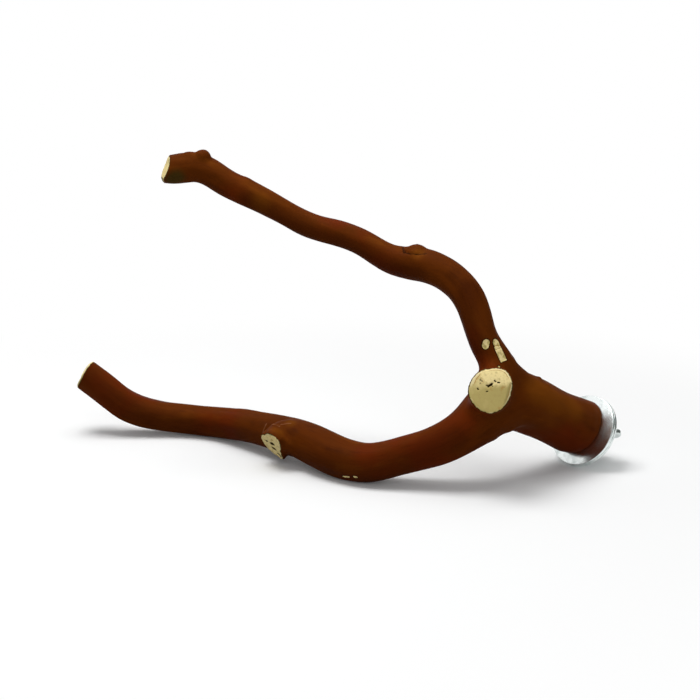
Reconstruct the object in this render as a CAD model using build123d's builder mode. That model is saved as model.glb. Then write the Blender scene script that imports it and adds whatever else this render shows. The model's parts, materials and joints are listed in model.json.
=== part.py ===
from build123d import *
import os
from math import asin, cos, degrees, radians, sin

# Lie of the bolt, which points from the stem's sawn end into the wood, in degrees
bolt_heading = 39.0
bolt_rise = 31.0

# Hanger bolt: machine thread outside the wood, lag thread inside it
bolt_diameter = 6.35
bolt_free_length = 19.0
bolt_lag_length = 32.0
bolt_point_length = 7.0
bolt_tip_diameter = 1.2
bolt_end_chamfer = 0.8
pilot_clearance = 0.05

# Fender washers, one against the wood and one under the nut
washer_diameter = 38.1
washer_hole = 7.1
washer_thickness = 1.6
washer_edge_radius = 0.4
seat_clearance = 0.1

# Wing nut, with its resting turn in degrees
nut_foot_diameter = 12.0
nut_crown_diameter = 9.5
nut_hub_height = 7.0
nut_hub_rounding = 0.7
nut_span = 28.0
nut_height = 14.0
nut_wing_thickness = 3.0
nut_wing_root_width = 4.8
nut_wing_root_spread = 8.8
nut_wing_tip_width = 7.2
nut_wing_rounding = 0.9
nut_thread_clearance = 0.06
nut_turn = 150.0

# Stem, from its sawn end to the middle of the fork
stem_girth = 29.0
stem_offset_up = 1.1
stem_offset_back = 2.4
stem_bow = 2.8
stem_overrun = 14.0
fork_left = 45.7
fork_near = 29.0
fork_rise = 23.3
stem_along_shares = (0.0, 0.27, 0.53, 0.78, 1.0)
stem_bow_shares = (0.0, 0.15, 0.70, 1.0, 0.0)
stem_girth_shares = (1.0, 0.985, 1.0, 1.03, 0.98)

# Lower arm, from the fork to its tip: shares of reach, recede, drop and girth
lower_arm_reach = 217.0
lower_arm_recede = 81.0
lower_arm_drop = 32.5
lower_arm_girth = 19.4
lower_arm_shares = (
    (0.034, -0.043, 0.170, 1.38),
    (0.070, -0.075, 0.340, 1.18),
    (0.136, -0.088, 0.600, 1.03),
    (0.217, -0.063, 0.797, 0.97),
    (0.294, -0.030, 0.949, 1.01),
    (0.372, 0.100, 0.940, 1.06),
    (0.446, 0.310, 0.870, 1.03),
    (0.523, 0.530, 0.886, 0.95),
    (0.611, 0.770, 0.950, 0.88),
    (0.677, 0.910, 1.012, 0.86),
    (0.756, 0.975, 0.994, 0.84),
    (0.820, 0.990, 0.948, 0.85),
    (0.907, 1.000, 0.770, 0.89),
    (0.953, 1.020, 0.550, 0.87),
    (0.990, 1.045, 0.377, 0.86),
    (1.010, 1.060, 0.282, 0.86),
)

# Upper arm, from the fork to its tip: shares of reach, recede, rise and girth
upper_arm_reach = 168.5
upper_arm_recede = 57.0
upper_arm_rise = 109.0
upper_arm_girth = 14.3
upper_arm_shares = (
    (-0.005, 0.000, 0.000, 1.62),
    (-0.004, -0.020, 0.090, 1.42),
    (0.018, -0.055, 0.200, 1.15),
    (0.053, -0.037, 0.292, 1.04),
    (0.074, 0.016, 0.387, 1.05),
    (0.092, 0.086, 0.461, 1.08),
    (0.128, 0.174, 0.529, 1.08),
    (0.183, 0.279, 0.580, 1.11),
    (0.249, 0.384, 0.598, 1.13),
    (0.322, 0.472, 0.612, 1.00),
    (0.394, 0.560, 0.669, 0.93),
    (0.469, 0.647, 0.711, 0.93),
    (0.560, 0.735, 0.745, 0.88),
    (0.651, 0.805, 0.810, 0.89),
    (0.740, 0.858, 0.876, 0.95),
    (0.823, 0.910, 0.938, 0.95),
    (0.884, 0.946, 0.990, 0.99),
    (0.946, 0.980, 0.994, 1.05),
    (1.000, 1.000, 0.984, 0.97),
)
upper_saw_heading = 14.0
upper_saw_rise = 12.0
upper_saw_overrun = 6.0

# Sawn stub, from the fork to the bend where it turns to the front, and on to its face
stub_bend_left = 5.8
stub_bend_front = 10.0
stub_bend_up = 7.7
stub_length = 15.5
stub_heading = 84.0
stub_rise = 17.0
stub_root_girth = 24.0
stub_face_girth = 22.6

# Sawn twig, rooted at shares of the lower arm's reach, recede and drop, with its bend and its face
twig_root_shares = (0.434, 0.270, 0.886)
twig_bend_left = 14.5
twig_bend_back = 4.8
twig_bend_up = 1.9
twig_length = 7.5
twig_heading = 40.0
twig_rise = -30.0
twig_root_girth = 17.6
twig_bend_girth = 18.0
twig_face_girth = 17.6

# Knobs on the upper arm: shares of reach, recede, rise and girth
knob_shares = (
    (0.243, 0.370, 0.626, 0.92),
    (0.881, 0.912, 1.054, 0.49),
    (0.926, 0.947, 1.046, 0.42),
)

# Roundings where limbs grow out of each other and where the saw left an edge
upper_arm_fillet = 8.0
stub_fillet = 7.0
twig_fillet = 1.5
sawn_edge_radius = 0.6


def bearing(heading, rise):
    """Direction that turns from left to front by its heading and climbs by its rise."""
    flat = cos(radians(rise))
    return Vector(-flat * cos(radians(heading)), -flat * sin(radians(heading)), sin(radians(rise)))


def limb_planes(points, side):
    """Section planes square to a limb's middle line."""
    planes = []
    for index, point in enumerate(points):
        before = points[max(index - 1, 0)]
        after = points[min(index + 1, len(points) - 1)]
        along = (after - before).normalized()
        across = along.cross(side).cross(along)
        planes.append(Plane(origin=point, x_dir=across, z_dir=along))
    return planes


def lower_arm_place(left, away, down):
    """Point of the lower arm from shares of its reach, recede and drop."""
    return fork + Vector(-lower_arm_reach * left, lower_arm_recede * away, -lower_arm_drop * down)


def upper_arm_place(left, away, up):
    """Point of the upper arm from shares of its reach, recede and rise."""
    return fork + Vector(-upper_arm_reach * left, upper_arm_recede * away, upper_arm_rise * up)


# Bolt axis through the middle of the washers' seat on the stem's sawn end
into_wood = bearing(bolt_heading, bolt_rise)
seat_up = into_wood.cross(Vector(0, 0, 1)).cross(into_wood).normalized()
seat_back = into_wood.cross(seat_up)
seat_plane = Plane(origin=(0, 0, 0), x_dir=seat_back, z_dir=into_wood)
axial_plane = Plane(origin=(0, 0, 0), x_dir=seat_back, z_dir=seat_back.cross(into_wood))
bolt_axis = Axis((0, 0, 0), into_wood)
wing_side = seat_back * cos(radians(nut_turn)) + seat_up * sin(radians(nut_turn))
hardware_plane = Plane(origin=(0, 0, 0), x_dir=wing_side, z_dir=-into_wood)

# Middle lines and girths of the limbs
stem_start = seat_up * stem_offset_up + seat_back * stem_offset_back
fork = Vector(-fork_left, -fork_near, fork_rise)
stem_line = (fork - stem_start).normalized()
trunk_points = [stem_start - stem_line * stem_overrun]
trunk_girths = [stem_girth]
for along, bow, girth in zip(stem_along_shares, stem_bow_shares, stem_girth_shares):
    trunk_points.append(stem_start + (fork - stem_start) * along + Vector(0, 0, stem_bow * bow))
    trunk_girths.append(stem_girth * girth)
for left, away, down, girth in lower_arm_shares:
    trunk_points.append(lower_arm_place(left, away, down))
    trunk_girths.append(lower_arm_girth * girth)
upper_points = [upper_arm_place(*row[:3]) for row in upper_arm_shares]
upper_girths = [upper_arm_girth * row[3] for row in upper_arm_shares]
upper_end_line = (upper_points[-1] - upper_points[-2]).normalized()
upper_saw_plane = Plane(origin=upper_points[-1], z_dir=bearing(upper_saw_heading, upper_saw_rise))
upper_points.append(upper_points[-1] + upper_end_line * upper_saw_overrun)
upper_girths.append(upper_girths[-1])
stub_line = bearing(stub_heading, stub_rise)
stub_bend = fork + Vector(-stub_bend_left, -stub_bend_front, stub_bend_up)
stub_points = [fork, stub_bend, stub_bend + stub_line * stub_length]
stub_girths = [stub_root_girth, stub_face_girth, stub_face_girth]
twig_root = lower_arm_place(*twig_root_shares)
twig_bend = twig_root + Vector(-twig_bend_left, twig_bend_back, twig_bend_up)
twig_line = bearing(twig_heading, twig_rise)
twig_points = [twig_root, twig_bend, twig_bend + twig_line * twig_length]
twig_girths = [twig_root_girth, twig_bend_girth, twig_face_girth]

trunk_planes = limb_planes(trunk_points, Vector(0, 1, 0))
upper_planes = limb_planes(upper_points, Vector(0, 1, 0))
stub_planes = limb_planes(stub_points, Vector(1, 0, 0))
twig_planes = limb_planes(twig_points, Vector(0, 0, 1))

with BuildPart() as branch:
    for plane, girth in zip(trunk_planes, trunk_girths):
        with BuildSketch(plane):
            Circle(girth / 2)
    loft()
    split(bisect_by=seat_plane, keep=Keep.TOP)
    for planes, girths, join_radius in (
        (upper_planes, upper_girths, upper_arm_fillet),
        (stub_planes, stub_girths, stub_fillet),
        (twig_planes, twig_girths, twig_fillet),
    ):
        for plane, girth in zip(planes, girths):
            with BuildSketch(plane):
                Circle(girth / 2)
        loft()
        fillet(branch.edges(Select.NEW), radius=join_radius)
    with BuildSketch(upper_saw_plane):
        Circle(upper_arm_girth)
    extrude(amount=2 * upper_saw_overrun, mode=Mode.SUBTRACT)
    for left, away, up, girth in knob_shares:
        with Locations(upper_arm_place(left, away, up)):
            Sphere(upper_arm_girth * girth / 2)
    sawn_faces = branch.faces().filter_by(GeomType.PLANE)
    fillet(sawn_faces.edges(), radius=sawn_edge_radius)
    with BuildSketch(axial_plane):
        with BuildLine():
            Polyline(
                (0, -pilot_clearance),
                (bolt_diameter / 2 + pilot_clearance, -pilot_clearance),
                (bolt_diameter / 2 + pilot_clearance, bolt_lag_length - bolt_point_length),
                (bolt_tip_diameter / 2 + pilot_clearance, bolt_lag_length + pilot_clearance),
                (0, bolt_lag_length + pilot_clearance),
                close=True,
            )
        make_face()
    revolve(axis=bolt_axis, mode=Mode.SUBTRACT)
branch.part.label = "branch"

# Hardware, standing upright on the stem's sawn end
with BuildPart() as hanger_bolt:
    with BuildSketch(Plane.XZ):
        with BuildLine():
            Polyline(
                (0, bolt_free_length),
                (bolt_diameter / 2 - bolt_end_chamfer, bolt_free_length),
                (bolt_diameter / 2, bolt_free_length - bolt_end_chamfer),
                (bolt_diameter / 2, bolt_point_length - bolt_lag_length),
                (bolt_tip_diameter / 2, -bolt_lag_length),
                (0, -bolt_lag_length),
                close=True,
            )
        make_face()
    revolve(axis=Axis.Z)
hanger_bolt.part.label = "hanger_bolt"

washers = []
washer_level = seat_clearance
for washer_name in ("inner_washer", "outer_washer"):
    with BuildPart() as washer:
        with BuildSketch(Plane.XY.offset(washer_level)):
            Circle(washer_diameter / 2)
            Circle(washer_hole / 2, mode=Mode.SUBTRACT)
        extrude(amount=washer_thickness)
        fillet(washer.edges(), radius=washer_edge_radius)
    washer.part.label = washer_name
    washers.append(washer)
    washer_level += washer_thickness + seat_clearance

nut_level = washer_level
wing_tip_spread = nut_span - nut_wing_tip_width
wing_tip_level = nut_level + nut_height - nut_wing_tip_width / 2
with BuildPart() as wing_nut:
    for side in (-1, 1):
        wing_root = Vector(side * nut_wing_root_spread / 2, nut_level + nut_hub_height / 2)
        wing_tip = Vector(side * wing_tip_spread / 2, wing_tip_level)
        wing_line = wing_tip - wing_root
        flare = degrees(asin((nut_wing_tip_width - nut_wing_root_width) / 2 / wing_line.length))
        inner = wing_line.normalized().rotate(Axis.Z, 90 + flare)
        outer = wing_line.normalized().rotate(Axis.Z, -90 - flare)
        with BuildSketch(Plane.XZ):
            with Locations(wing_root):
                Circle(nut_wing_root_width / 2)
            with Locations(wing_tip):
                Circle(nut_wing_tip_width / 2)
            Polygon(
                wing_root + inner * (nut_wing_root_width / 2),
                wing_tip + inner * (nut_wing_tip_width / 2),
                wing_tip + outer * (nut_wing_tip_width / 2),
                wing_root + outer * (nut_wing_root_width / 2),
                align=None,
            )
        extrude(amount=nut_wing_thickness / 2, both=True)
    fillet(wing_nut.faces().filter_by(Axis.Y).edges(), radius=nut_wing_rounding)
    with BuildSketch(Plane.XZ) as hub_profile:
        with BuildLine():
            Polyline(
                (0, nut_level),
                (nut_foot_diameter / 2, nut_level),
                (nut_crown_diameter / 2, nut_level + nut_hub_height),
                (0, nut_level + nut_hub_height),
                close=True,
            )
        make_face()
        hub_corners = hub_profile.vertices().filter_by(lambda corner: corner.X > 0)
        fillet(hub_corners, radius=nut_hub_rounding)
    revolve(axis=Axis.Z)
    with BuildSketch(Plane.XY.offset(nut_level)):
        Circle(bolt_diameter / 2 + nut_thread_clearance)
    extrude(amount=nut_height, mode=Mode.SUBTRACT)
wing_nut.part.label = "wing_nut"

# Hardware laid along the bolt's line, and the origin on the floor under the middle of the perch
hardware = (hanger_bolt, *washers, wing_nut)
for piece in hardware:
    piece.part.move(hardware_plane.location)
pieces = (branch, *hardware)
boxes = [piece.part.bounding_box() for piece in pieces]
left = min(box.min.X for box in boxes)
right = max(box.max.X for box in boxes)
front = min(box.min.Y for box in boxes)
back = max(box.max.Y for box in boxes)
bottom = min(box.min.Z for box in boxes)
seat = Vector(-(left + right) / 2, -(front + back) / 2, -bottom)
print("washers' seat", seat)

os.makedirs("parts", exist_ok=True)
for piece in pieces:
    piece.part.move(Location(seat))
    export_step(piece.part, "parts/" + piece.part.label + ".step")
    print(piece.part.label, "volume", piece.part.volume)
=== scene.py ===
import json
import math
import bpy
import numpy as np
from mathutils import Matrix, Vector, kdtree, noise


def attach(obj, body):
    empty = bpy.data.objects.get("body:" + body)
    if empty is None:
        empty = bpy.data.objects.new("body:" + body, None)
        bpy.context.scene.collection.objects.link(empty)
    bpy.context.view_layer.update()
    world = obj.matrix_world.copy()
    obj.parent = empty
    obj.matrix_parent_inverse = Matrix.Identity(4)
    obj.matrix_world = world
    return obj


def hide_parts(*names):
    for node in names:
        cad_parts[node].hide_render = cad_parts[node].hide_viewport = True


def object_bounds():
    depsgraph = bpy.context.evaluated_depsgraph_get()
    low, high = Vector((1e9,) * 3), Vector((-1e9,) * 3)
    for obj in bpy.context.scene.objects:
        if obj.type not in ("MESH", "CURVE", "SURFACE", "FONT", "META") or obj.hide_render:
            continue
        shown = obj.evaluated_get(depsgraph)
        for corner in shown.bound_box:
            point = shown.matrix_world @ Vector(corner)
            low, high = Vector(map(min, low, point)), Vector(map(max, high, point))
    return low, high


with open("model.json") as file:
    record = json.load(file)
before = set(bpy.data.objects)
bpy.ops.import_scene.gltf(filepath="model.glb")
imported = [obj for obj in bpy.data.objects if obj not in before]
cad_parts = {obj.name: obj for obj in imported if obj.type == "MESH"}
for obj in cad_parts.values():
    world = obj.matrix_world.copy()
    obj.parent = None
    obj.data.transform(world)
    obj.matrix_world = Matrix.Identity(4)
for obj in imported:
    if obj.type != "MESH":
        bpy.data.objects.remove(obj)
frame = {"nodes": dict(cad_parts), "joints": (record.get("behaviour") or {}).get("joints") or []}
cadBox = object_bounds()
mm = 0.001
scene = bpy.context.scene
scene.view_settings.view_transform = "Standard"
print("frame loaded:", ", ".join(sorted(frame["nodes"])))


# Object handling

def pickOnly(thing):
    bpy.ops.object.select_all(action="DESELECT")
    thing.select_set(True)
    bpy.context.view_layer.objects.active = thing


def addShape(adder, **settings):  # a new mesh object, alone in the selection
    bpy.ops.object.select_all(action="DESELECT")
    adder(**settings)
    return bpy.context.object


def startEdit():
    bpy.ops.object.mode_set(mode="EDIT")


def editMesh(thing):  # edit mode, with everything picked
    pickOnly(thing)
    startEdit()
    bpy.ops.mesh.select_all(action="SELECT")


def endEdit():
    bpy.ops.object.mode_set(mode="OBJECT")


def pickNone(thing, kind):  # leaves no edge or face of the mesh picked
    pickOnly(thing)
    startEdit()
    bpy.ops.mesh.select_mode(type=kind)
    bpy.ops.mesh.select_all(action="DESELECT")
    endEdit()


def addModifier(thing, kind, **settings):
    modifier = thing.modifiers.new(kind.title(), kind)
    for name, value in settings.items():
        setattr(modifier, name, value)


def applyModifiers(thing):
    pickOnly(thing)
    for modifier in list(thing.modifiers):
        bpy.ops.object.modifier_apply(modifier=modifier.name)


def joinInto(thing, others):
    pickOnly(thing)
    for other in others:
        other.select_set(True)
    bpy.ops.object.join()


def combine(thing, tool, operation):  # a boolean that uses up its tool
    addModifier(thing, "BOOLEAN", operation=operation, object=tool, solver="EXACT")
    applyModifiers(thing)
    bpy.data.objects.remove(tool)


def applyPlace(thing):
    pickOnly(thing)
    bpy.ops.object.transform_apply(location=True, rotation=True, scale=True)


def coat(thing, material):
    thing.data.materials.clear()
    thing.data.materials.append(material)


# Node handling

def addNode(tree, kind, inputs=None, **settings):
    made = tree.nodes.new("ShaderNode" + kind)
    for name, value in settings.items():
        setattr(made, name, value)
    for socket, value in (inputs or {}).items():
        if isinstance(value, bpy.types.NodeSocket):
            tree.links.new(value, made.inputs[socket])
        else:
            made.inputs[socket].default_value = value
    return made


def calc(tree, operation, first, second):
    return addNode(tree, "Math", {0: first, 1: second}, operation=operation).outputs[0]


def times(tree, first, second):
    return calc(tree, "MULTIPLY", first, second)


def plus(tree, first, second):
    return calc(tree, "ADD", first, second)


def weighted(tree, values, shares):  # the sum of the values, each times its share
    total = times(tree, values[0], shares[0])
    for value, share in zip(values[1:], shares[1:]):
        total = plus(tree, total, times(tree, value, share))
    return total


def ramp(tree, value, low, high, start=0.0, end=1.0):
    inputs = {0: value, 1: low, 2: high, 3: start, 4: end}
    return addNode(tree, "MapRange", inputs, interpolation_type="SMOOTHSTEP").outputs[0]


def mixColour(tree, share, first, second):
    return addNode(tree, "Mix", {0: share, 6: first, 7: second}, data_type="RGBA").outputs[2]


def mixValue(tree, share, first, second):
    return addNode(tree, "Mix", {0: share, 2: first, 3: second}, data_type="FLOAT").outputs[0]


def readValue(tree, name, output="Fac"):  # a field of the mesh
    return addNode(tree, "Attribute", attribute_name=name).outputs[output]


def vectorMath(tree, operation, first, second=(0, 0, 0)):
    made = addNode(tree, "VectorMath", {0: first, 1: second}, operation=operation)
    return made.outputs["Value" if operation in ("LENGTH", "DOT_PRODUCT") else "Vector"]


def cloud(tree, vector, scale, detail):
    return addNode(tree, "TexNoise", {"Vector": vector, "Scale": scale, "Detail": detail}).outputs[0]


def ringWaves(tree, vector, scale, distortion, detail, detailScale):
    inputs = {"Vector": vector, "Scale": scale, "Distortion": distortion, "Detail": detail, "Detail Scale": detailScale}
    return addNode(tree, "TexWave", inputs, wave_type="RINGS", rings_direction="Z").outputs["Fac"]


def colour(red, green, blue):  # sRGB 0 to 255 as a linear colour
    channels = []
    for value in (red, green, blue):
        share = value / 255
        channels.append(share / 12.92 if share <= 0.04045 else ((share + 0.055) / 1.055) ** 2.4)
    return (*channels, 1.0)


def newMaterial(name):
    material = bpy.data.materials.new(name)
    material.use_nodes = True
    tree = material.node_tree
    return material, tree, tree.nodes["Principled BSDF"]


# Bolt line: local Z runs out of the wood, local X along the wings
hardware = {
    "seatToNut": 3.5 * mm,  # two washers and three seat gaps
    "wingSide": (0.7451, -0.5110, 0.4286),
}
spin = next(joint for joint in frame["joints"] if joint["name"] == "wing_nut_spin")
boltOut = Vector(spin["axis"]).normalized()
boltSeat = Vector(spin["pos_m"]) - boltOut * hardware["seatToNut"]
wingSide = Vector(hardware["wingSide"])
wingSide = (wingSide - boltOut * wingSide.dot(boltOut)).normalized()
boltTurn = Matrix((wingSide, boltOut.cross(wingSide), boltOut)).transposed().to_4x4()
boltPlace = Matrix.Translation(boltSeat) @ boltTurn


# Zinc plate, with tumbling marks and a faint blue cast

zincLook = {
    "bright": colour(238, 243, 242),
    "dull": colour(204, 212, 211),
    "smear": (180.0, 3.0),  # scale and detail of the noise
    "grit": (2600.0, 2.0),
    "rings": (620.0, 1.2, 2.0, 60.0),  # scale and distortion of lathe rings, its detail and scale
    "dullSmears": (0.35, 0.7),
    "roughSmears": (0.3, 0.75, 0.17, 0.27),  # smears, then the roughness across them
    "gritShare": 0.5,
    "markStrength": 0.10,
    "markDepth": 0.06 * mm,
    "dish": 0.09,  # slope of a stamped washer's face, in its shading only
}


def zincMaterial(name, turned):  # turned is the share of lathe rings, 0 for none
    material, tree, shader = newMaterial(name)
    place = addNode(tree, "TexCoord").outputs["Object"]
    toBolt = boltPlace.inverted()
    mapping = {"Vector": place, "Location": toBolt.to_translation(), "Rotation": toBolt.to_euler()}
    onBolt = addNode(tree, "Mapping", mapping).outputs[0]
    smear = cloud(tree, place, *zincLook["smear"])
    grit = cloud(tree, place, *zincLook["grit"])
    rings = ringWaves(tree, onBolt, *zincLook["rings"])
    tint = mixColour(tree, ramp(tree, smear, *zincLook["dullSmears"]), zincLook["bright"], zincLook["dull"])
    tree.links.new(tint, shader.inputs["Base Color"])
    tree.links.new(ramp(tree, smear, *zincLook["roughSmears"]), shader.inputs["Roughness"])
    height = weighted(tree, (rings, grit), (turned, zincLook["gritShare"]))
    marks = {"Height": height, "Strength": zincLook["markStrength"], "Distance": zincLook["markDepth"]}
    bump = addNode(tree, "Bump", marks).outputs[0]
    if turned:
        reach = vectorMath(tree, "LENGTH", vectorMath(tree, "MULTIPLY", onBolt, (1, 1, 0)))
        slope = times(tree, reach, -zincLook["dish"])
        dish = {"Height": slope, "Strength": 1.0, "Distance": 1.0, "Normal": bump}
        bump = addNode(tree, "Bump", dish).outputs[0]
    tree.links.new(bump, shader.inputs["Normal"])
    shader.inputs["Metallic"].default_value = 1.0
    return material


def finishMetal(thing, level, sharpAngle, material):  # puts a piece on the bolt line
    thing.matrix_world = boltPlace @ Matrix.Translation((0, 0, level))
    applyPlace(thing)
    bpy.ops.object.shade_smooth_by_angle(angle=math.radians(sharpAngle))
    coat(thing, material)


# Washers: a punched ring with rolled edges

washerLook = {
    "pieces": {"inner_washer": ("innerWasher", 0.1 * mm), "outer_washer": ("outerWasher", 1.8 * mm)},  # name, level
    "diameter": 38.1 * mm,
    "hole": 7.1 * mm,
    "thickness": 1.6 * mm,
    "rolledEdge": 0.392 * mm,
    "edgeSteps": 5,
    "segments": 160,
    "sharpAngle": 40,
    "latheRings": 0.6,
}
washerZinc = zincMaterial("zincWasher", washerLook["latheRings"])


def makeWasher(node, name, level):
    washer = addShape(bpy.ops.mesh.primitive_circle_add, vertices=washerLook["segments"],
                      radius=washerLook["diameter"] / 2)
    washer.name = name
    editMesh(washer)
    bpy.ops.mesh.extrude_edges_move()
    inward = washerLook["hole"] / washerLook["diameter"]
    bpy.ops.transform.resize(value=(inward, inward, 1))
    bpy.ops.mesh.select_all(action="SELECT")
    bpy.ops.mesh.normals_make_consistent(inside=False)
    endEdit()
    if washer.data.polygons[0].normal.z < 0:
        washer.data.flip_normals()
    addModifier(washer, "SOLIDIFY", thickness=washerLook["thickness"], offset=1.0)
    addModifier(washer, "BEVEL", width=washerLook["rolledEdge"], segments=washerLook["edgeSteps"],
                limit_method="ANGLE")
    applyModifiers(washer)
    finishMetal(washer, level, washerLook["sharpAngle"], washerZinc)
    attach(washer, node)
    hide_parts(node)
    print(node, "made,", len(washer.data.polygons), "faces")


for washerNode, (washerName, washerLevel) in washerLook["pieces"].items():
    makeWasher(washerNode, washerName, washerLevel)


# Wing nut: a tapered hub and two ears, melted together as a forging, then bored

nutLook = {
    "footRadius": 6.0 * mm,
    "crownRadius": 4.75 * mm,
    "hubHeight": 7.0 * mm,
    "hubRounding": 0.7 * mm,
    "hubSides": 96,
    "span": 28.0 * mm,
    "height": 14.0 * mm,
    "earThickness": 3.0 * mm,
    "earRootRadius": 2.4 * mm,
    "earRootReach": 4.4 * mm,
    "earTipRadius": 3.6 * mm,
    "earRounding": 0.9 * mm,
    "earSides": 64,
    "hubSteps": 4,
    "earSteps": 5,
    "flatAngle": 1,  # faces that turn by less, in degrees, are one
    "roundedAngle": 60,  # edges sharper than this are rounded
    "boreRadius": 3.235 * mm,
    "mouth": 0.5 * mm,
    "grain": 0.22 * mm,
    "meltRounds": 7,
    "sharpAngle": 35,
}


def roundEdges(thing, width, steps):
    addModifier(thing, "BEVEL", width=width, segments=steps, limit_method="ANGLE",
                angle_limit=math.radians(nutLook["roundedAngle"]))
    applyModifiers(thing)


def makeEar(side):
    tip = nutLook["earTipRadius"]
    ends = (
        (nutLook["earRootReach"], nutLook["hubHeight"] / 2, nutLook["earRootRadius"]),
        (nutLook["span"] / 2 - tip, nutLook["height"] - tip, tip),
    )
    ear, other = (
        addShape(bpy.ops.mesh.primitive_cylinder_add, vertices=nutLook["earSides"], radius=radius,
                 depth=nutLook["earThickness"], location=(side * reach, 0, rise), rotation=(math.pi / 2, 0, 0))
        for reach, rise, radius in ends
    )
    joinInto(ear, [other])
    editMesh(ear)
    bpy.ops.mesh.convex_hull()
    bpy.ops.mesh.dissolve_limited(angle_limit=math.radians(nutLook["flatAngle"]))
    endEdit()
    applyPlace(ear)
    roundEdges(ear, nutLook["earRounding"], nutLook["earSteps"])
    return ear


def makeBore():  # the hole with a cone at each mouth
    radius, top, mouth = nutLook["boreRadius"], nutLook["hubHeight"], nutLook["mouth"]
    bore = addShape(bpy.ops.mesh.primitive_cylinder_add, vertices=nutLook["hubSides"], radius=radius, depth=top,
                    location=(0, 0, top / 2))
    for level, turn in ((0.0, 0.0), (top, math.pi)):
        cone = addShape(bpy.ops.mesh.primitive_cone_add, vertices=nutLook["hubSides"], radius1=radius + mouth,
                        radius2=radius - mouth, depth=2 * mouth, location=(0, 0, level), rotation=(turn, 0, 0))
        combine(bore, cone, "UNION")
    return bore


def makeWingNut():
    nut = addShape(bpy.ops.mesh.primitive_cone_add, vertices=nutLook["hubSides"], radius1=nutLook["footRadius"],
                   radius2=nutLook["crownRadius"], depth=nutLook["hubHeight"],
                   location=(0, 0, nutLook["hubHeight"] / 2))
    nut.name = "wingNut"
    applyPlace(nut)
    roundEdges(nut, nutLook["hubRounding"], nutLook["hubSteps"])
    for side in (-1, 1):
        combine(nut, makeEar(side), "UNION")
    addModifier(nut, "REMESH", mode="VOXEL", voxel_size=nutLook["grain"])
    addModifier(nut, "SMOOTH", iterations=nutLook["meltRounds"])
    applyModifiers(nut)
    combine(nut, makeBore(), "DIFFERENCE")
    finishMetal(nut, hardware["seatToNut"], nutLook["sharpAngle"], zincMaterial("zincNut", 0.0))
    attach(nut, "wing_nut")
    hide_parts("wing_nut")
    print("wing nut made,", len(nut.data.polygons), "faces")


makeWingNut()


# Hanger bolt: a machine thread outside the wood and a lag thread inside it

boltLook = {
    "radius": 3.15 * mm,
    "machine": {"pitch": 1.27 * mm, "depth": 0.62 * mm, "low": -1.0 * mm, "high": 19.0 * mm},
    "lag": {"pitch": 2.54 * mm, "depth": 0.95 * mm, "low": -32.0 * mm, "high": -1.0 * mm},
    "crestShare": 0.07,  # flat of a thread's crest as a share of its pitch
    "chamfer": 0.8 * mm,
    "pointLength": 7.0 * mm,
    "pointRadius": 0.6 * mm,
    "steps": 40,
    "turnWeld": 0.01 * mm,
    "endWeld": 0.005 * mm,
    "sharpAngle": 25,
}


def makeThread(thread):
    radius, pitch, steps = boltLook["radius"], thread["pitch"], boltLook["steps"]
    root, crest = radius - thread["depth"], pitch * boltLook["crestShare"]
    profile = ((root, 0.0), (root, crest), (radius, pitch / 2 - crest / 2), (radius, pitch / 2 + crest / 2),
               (root, pitch - crest), (root, pitch))
    rod = addShape(bpy.ops.mesh.primitive_circle_add, vertices=len(profile), radius=root)
    start = thread["low"] - pitch * 2
    for point, (reach, rise) in zip(rod.data.vertices, profile):
        point.co = (reach, 0, start + rise)
    pickNone(rod, "EDGE")
    for edge in rod.data.edges:  # opens the ring between the profile's ends
        edge.select = set(edge.vertices) == {0, len(profile) - 1}
    startEdit()
    bpy.ops.mesh.delete(type="EDGE")
    endEdit()
    turns = math.ceil((thread["high"] - start) / pitch) + 2
    addModifier(rod, "SCREW", angle=math.tau, screw_offset=pitch, iterations=turns, steps=steps, render_steps=steps,
                use_merge_vertices=True, merge_threshold=boltLook["turnWeld"])
    applyModifiers(rod)
    startEdit()
    for level, outward in ((thread["low"], -1), (thread["high"], 1)):
        bpy.ops.mesh.select_all(action="SELECT")
        bpy.ops.mesh.bisect(plane_co=(0, 0, level), plane_no=(0, 0, outward), use_fill=True, clear_outer=True)
    bpy.ops.mesh.select_all(action="SELECT")
    bpy.ops.mesh.remove_doubles(threshold=boltLook["endWeld"])
    bpy.ops.mesh.normals_make_consistent(inside=False)
    endEdit()
    return rod


def turnDown(rod):  # the chamfer at the free end and the point of the lag end
    top, tip = boltLook["machine"]["high"], boltLook["lag"]["low"]
    for point in rod.data.vertices:
        reach = math.hypot(point.co.x, point.co.y)
        fromTop, fromTip = top - point.co.z, point.co.z - tip
        limit = boltLook["radius"] - max(0.0, boltLook["chamfer"] - fromTop)
        share = min(1.0, max(0.0, fromTip / boltLook["pointLength"]))
        limit = min(limit, boltLook["pointRadius"] + (boltLook["radius"] - boltLook["pointRadius"]) * share)
        if reach > limit:
            point.co.x *= limit / reach
            point.co.y *= limit / reach


def makeBolt():
    bolt = makeThread(boltLook["machine"])
    bolt.name = "hangerBolt"
    joinInto(bolt, [makeThread(boltLook["lag"])])
    turnDown(bolt)
    finishMetal(bolt, 0.0, boltLook["sharpAngle"], zincMaterial("zincBolt", 0.0))
    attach(bolt, "branch")
    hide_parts("hanger_bolt")
    print("hanger bolt made,", len(bolt.data.polygons), "faces")


makeBolt()


# Branch: the CAD limbs remeshed, then given sinews, folds, saw facets, pits and scars

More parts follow.
